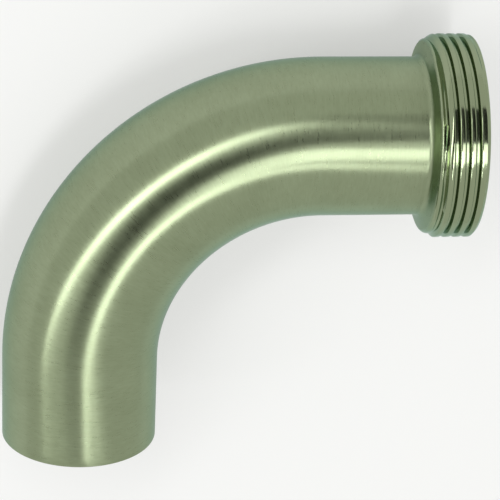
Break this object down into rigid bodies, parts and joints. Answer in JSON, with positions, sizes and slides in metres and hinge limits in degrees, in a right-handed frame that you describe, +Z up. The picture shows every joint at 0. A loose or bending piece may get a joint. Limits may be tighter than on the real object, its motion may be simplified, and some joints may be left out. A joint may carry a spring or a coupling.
{
  "type": "bevel seat elbow",
  "caption": "Quarter-turn elbow in thin stainless tube, with a plain end to weld and a threaded ferrule with a bevelled seat that a union nut pulls up.",
  "frame": {"origin": "middle of the footprint, on the surface that the elbow lies on", "axes": "+Z up from that surface, through the elbow lying on its side; +X along the ferrule's run towards its mouth, which rises 5.2 degrees; the plain end faces -Y"},
  "size_m": [0.1528, 0.1389, 0.0666],
  "materials": {
    "steel": "satin, brushed round the tube, with the thread and shoulder turned bright"
  },
  "bodies": {
    "root": {"elbow": "steel"}
  },
  "joints": []
}
